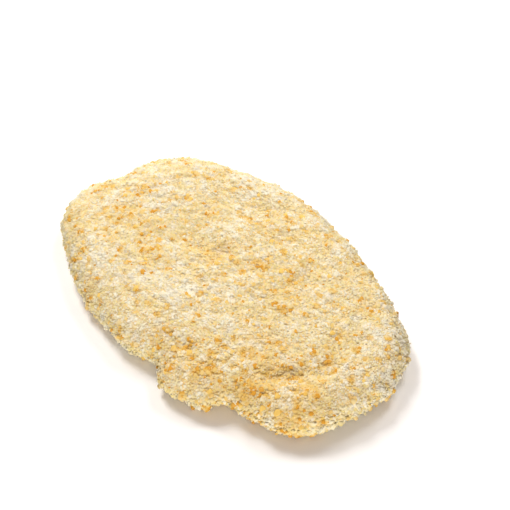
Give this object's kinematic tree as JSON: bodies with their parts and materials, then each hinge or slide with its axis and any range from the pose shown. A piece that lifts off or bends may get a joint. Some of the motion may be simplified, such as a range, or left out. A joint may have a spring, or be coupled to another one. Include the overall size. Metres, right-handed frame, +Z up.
{
  "type": "schnitzel",
  "caption": "Uncooked breaded schnitzel: a flat oval cutlet with a rounded edge, a small side lobe and a rough coat of pale bread crumbs.",
  "frame": {"origin": "on the table under the middle of the cutlet, where it rests", "axes": "+X along the cutlet to its broad folded end, -Y towards the long side with the small lobe, +Z up"},
  "size_m": [0.1596, 0.1044, 0.0183],
  "materials": {
    "crumb_coat": "dry, matt bread crumbs, cream to pale gold with orange grains"
  },
  "bodies": {
    "root": {"schnitzel": "crumb_coat"}
  },
  "joints": []
}
